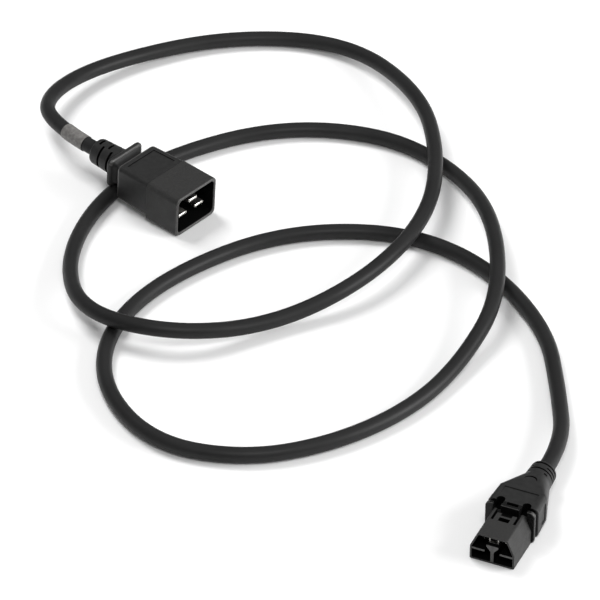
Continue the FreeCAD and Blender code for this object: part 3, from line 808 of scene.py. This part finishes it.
# Connector overmold: the soft rear of the connector, satin elastomer moulded round the housing's
# waist, the crimps and the cable. The cover has two pockets beside the bracket and three bare
# recessed panels, and its neck runs into a grooved round tail.
cover_rear, cover_front_width, cover_rear_width = -42.4, 28.8, 27.2
cover_bottom, cover_top, cover_middle = 0.4, 19.6, 10.0
cover_corner, cover_round, cover_edge = 3.4, 0.6, 0.12
cover_panel_limits, cover_panel_margin = (-33.5, -41.7), 1.1
cover_hollow = [
    (cover_front, *waist_hole), (-35.5, *waist_hole), (-35.5, 21.6, 1.2, 14.6),
    (-44.0, 20.0, 3.0, 15.8), (-52.9, 12.0, 4.0, 15.0),
]
cable_height = 9.5
neck_end, neck_cuts = -60.9, 6
tail_end, tail_root_diameter, tail_end_diameter, tail_round = -71.9, 15.8, 14.6, 0.5
groove_width, groove_floor_diameter, groove_skin, groove_floor_skin = 1.1, 10.6, 0.3, 0.1
groove_rows = [(-70.0, None), (-67.5, (-6.8, 6.8)), (-65.0, None), (-62.5, (5.4, 6.8))]
pocket_place, pocket_radius, pocket_floor, pocket_sides = -29.2, 2.4, 14.0, 48
gap_reach, gap_half, gap_bottom, gap_top = 3.4, 11.4, 0.9, 19.4
thumb_mark_place, thumb_mark_radius, thumb_mark_width = -52.4, 3.6, 1.2
thumb_mark_floor, thumb_mark_sides, thumb_mark_skin, thumb_mark_lean = 16.9, 64, 0.3, 0.3
cutter_height = 6.0


def cover_ring(x, inset=0.0):
    """Ring of the tapering cover at x, drawn in by this much all round."""
    width = taper(x, cover_front, cover_rear, cover_front_width, cover_rear_width)
    draw_ring(x, width, cover_bottom, cover_top, inset)


def inside_cover(middle, way):
    """True for the faces of the pockets, the front gap, the thumb mark and the tail's grooves,
    which get painted shade.
    """
    from_axis = math.hypot(middle.y, middle.z - cable_height)
    shallow = tail_end_diameter / 2 - groove_skin
    deep = groove_floor_diameter / 2 - groove_floor_skin
    along = tail_end + tail_round < middle.x < neck_end - groove_width / 2
    in_groove = along and deep < from_axis < shallow
    at_front = middle.x > cover_front - gap_reach and abs(middle.y) < gap_half
    in_gap = at_front and gap_bottom < middle.z < gap_top
    from_mark = math.hypot(middle.x - thumb_mark_place, middle.y)
    sunk = abs(middle.z - thumb_mark_floor) < close_by
    wall = abs(way.z) < thumb_mark_lean and middle.z > thumb_mark_floor
    in_mark = from_mark < thumb_mark_radius + thumb_mark_skin and (sunk or wall)
    return in_groove or in_gap or in_mark


cover = add_face("connector_soft_cover", cover_front, cover_front_width - 2 * cover_round,
                 cover_bottom + cover_round, cover_top - cover_round, cover_corner - cover_round)
for run, inset in reversed(quarter_round(cover_round)[:-1]):
    cover_ring(cover_front - cover_round + run, inset)
cover_ring(cover_front - cover_round)
for x in cover_panel_limits:
    cover_ring(x)
cover_ring(cover_rear)
bpy.ops.mesh.delete(type="ONLY_FACE")
turn_outwards()
for direction in (Vector((0, 0, 1)), Vector((0, 1, 0)), Vector((0, -1, 0))):
    pick_faces(lambda middle, way: way.dot(direction) > squarely
               and cover_panel_limits[1] < middle.x < cover_panel_limits[0]
               and Vector((0, middle.y, middle.z - cover_middle)).cross(direction).length < beside)
    bpy.ops.mesh.inset(thickness=cover_panel_margin * mm)
    sink = direction * -panel_depth * mm
    bpy.ops.mesh.extrude_region_move(TRANSFORM_OT_translate={"value": sink})
pick_faces(lambda middle, way: middle.x > cover_front - same_place and way.x > facing)
for ring in cover_hollow:
    draw_ring(*ring)
bpy.ops.object.mode_set(mode="OBJECT")
tail = add_disc(neck_end, tail_root_diameter, cable_height)
for groove_x, span in reversed(groove_rows):
    for x in (groove_x + groove_width / 2, groove_x - groove_width / 2):
        diameter = taper(x, neck_end, tail_end, tail_root_diameter, tail_end_diameter)
        round_ring(x, diameter, cable_height)
x = tail_end + tail_round
diameter = taper(x, neck_end, tail_end, tail_root_diameter, tail_end_diameter)
round_ring(x, diameter, cable_height)
end_relief(neck_end, tail_end, tail_end_diameter, tail_round, cable_height)
groove_share = groove_floor_diameter / ((tail_root_diameter + tail_end_diameter) / 2)
for groove_x, span in groove_rows:
    low, high = span or (-tail_root_diameter, tail_root_diameter)
    pick_faces(lambda middle, way: abs(middle.x - groove_x) < groove_width / 4
               and low < middle.z - cable_height < high)
    sink_band(groove_x, groove_share, cable_height)
join_rear(cover, tail)
pick_edges(lambda a, b: all(
    min(abs(end.x - cover_rear), abs(end.x - neck_end)) < same_place for end in (a, b)))
bpy.ops.mesh.bridge_edge_loops(number_cuts=neck_cuts, interpolation="LINEAR")
turn_outwards()
bpy.ops.object.mode_set(mode="OBJECT")
for side in (-1, 1):
    pocket = add_cylinder((pocket_place, side * notch_offset, pocket_floor + cutter_height / 2),
                          pocket_radius, cutter_height, pocket_sides)
    join_or_cut(cover, pocket, "DIFFERENCE")
crescent, crescent_hollow = [
    add_cylinder((x, 0, thumb_mark_floor + cutter_height / 2), thumb_mark_radius, cutter_height,
                 thumb_mark_sides)
    for x in (thumb_mark_place, thumb_mark_place + thumb_mark_width)
]
join_or_cut(crescent, crescent_hollow, "DIFFERENCE")
join_or_cut(cover, crescent, "DIFFERENCE")
soften(cover, cover_edge)
finish_faces(cover, satin_black, all_over)
# Painted shade in the pockets, the front gap, the thumb mark and the tail's grooves.
finish_faces(cover, painted_shade_black, inside_cover)
seat(cover, connector_nose, connector_turn)
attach(cover, "root")
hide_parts("connector_overmold")


# Studio: a white paper sweep under the cord, three soft lamps and a room that is bright overhead.
# The far left lamp is kept out of reflections; those in front and at the right show in them.
# The paper reads white to the camera and in reflections, and keeps the cord's shadow.
floor_size, floor_height, paper_glow = 12.0, -0.0002, 0.04
room_strength = 0.4
lamp_target = Vector((-0.03, 0.04, 0))


def either(tree, first, second):
    """Larger of two outputs, which is 1 where either kind of ray is traced."""
    larger = tree.nodes.new("ShaderNodeMath")
    larger.operation = "MAXIMUM"
    tree.links.new(first, larger.inputs[0])
    tree.links.new(second, larger.inputs[1])
    return larger.outputs[0]


bpy.ops.object.select_all(action="DESELECT")
bpy.ops.mesh.primitive_plane_add(size=floor_size, location=(0, 0, floor_height))
floor = bpy.context.object
floor.name = "floor"
paper, shader = new_finish("white_paper", (0.82, 0.82, 0.82))
shader.inputs["Roughness"].default_value = 0.9
shader.inputs["Specular IOR Level"].default_value = 0.1
tree = paper.node_tree
rays = tree.nodes.new("ShaderNodeLightPath").outputs
seen = either(tree, rays["Is Camera Ray"], rays["Is Glossy Ray"])
seen = either(tree, seen, rays["Is Transmission Ray"])
glow = tree.nodes.new("ShaderNodeEmission")
glow.inputs["Strength"].default_value = paper_glow
lifted = tree.nodes.new("ShaderNodeAddShader")
tree.links.new(shader.outputs["BSDF"], lifted.inputs[0])
tree.links.new(glow.outputs["Emission"], lifted.inputs[1])
shown = tree.nodes.new("ShaderNodeMixShader")
tree.links.new(seen, shown.inputs["Fac"])
tree.links.new(shader.outputs["BSDF"], shown.inputs[1])
tree.links.new(lifted.outputs["Shader"], shown.inputs[2])
tree.links.new(shown.outputs["Shader"], tree.nodes["Material Output"].inputs["Surface"])
floor.data.materials.append(paper)

world = bpy.data.worlds.new("studio_room")
bpy.context.scene.world = world
world.use_nodes = True
tree = world.node_tree
room = tree.nodes["Background"]
way = tree.nodes.new("ShaderNodeTexCoord")
parts = tree.nodes.new("ShaderNodeSeparateXYZ")
shades = tree.nodes.new("ShaderNodeValToRGB")
shades.color_ramp.elements[0].position = 0.2
shades.color_ramp.elements[0].color = (0.1, 0.1, 0.1, 1)
shades.color_ramp.elements[1].position = 0.85
shades.color_ramp.elements[1].color = (1, 1, 1, 1)
tree.links.new(way.outputs["Generated"], parts.inputs[0])
tree.links.new(parts.outputs["Z"], shades.inputs["Fac"])
tree.links.new(shades.outputs["Color"], room.inputs["Color"])
room.inputs["Strength"].default_value = room_strength

for place, size, power, mirrored in (
    ((-1.0, 0.15, 1.4), 0.8, 21, False),
    ((0.75, -0.7, 1.4), 0.4, 9, True),
    ((1.25, 0.75, 0.6), 0.9, 26, True),
):
    bpy.ops.object.light_add(type="AREA", location=place)
    lamp = bpy.context.object
    lamp.data.size = size
    lamp.data.energy = power
    lamp.visible_glossy = mirrored
    lamp.rotation_euler = (lamp_target - lamp.location).to_track_quat("-Z", "Y").to_euler()


# Camera: looks down on the cord from the photograph's side, with a long lens.
# It is aimed at the middle of the turns, and its lens gives the photograph's framing.
camera_azimuth = math.radians(40.5)
camera_elevation = math.radians(36.0)
camera_distance = 2.5
camera_target = Vector((-0.0347, 0.0414, 0.0))
away = Vector((
    math.sin(camera_azimuth) * math.cos(camera_elevation),
    -math.cos(camera_azimuth) * math.cos(camera_elevation),
    math.sin(camera_elevation),
))
bpy.ops.object.camera_add(location=camera_target + away * camera_distance)
camera = bpy.context.object
camera.rotation_euler = (-away).to_track_quat("-Z", "Y").to_euler()
camera.data.lens = 265.5
camera.data.sensor_width = 36.0
bpy.context.scene.camera = camera
bpy.context.scene.view_settings.view_transform = "Standard"
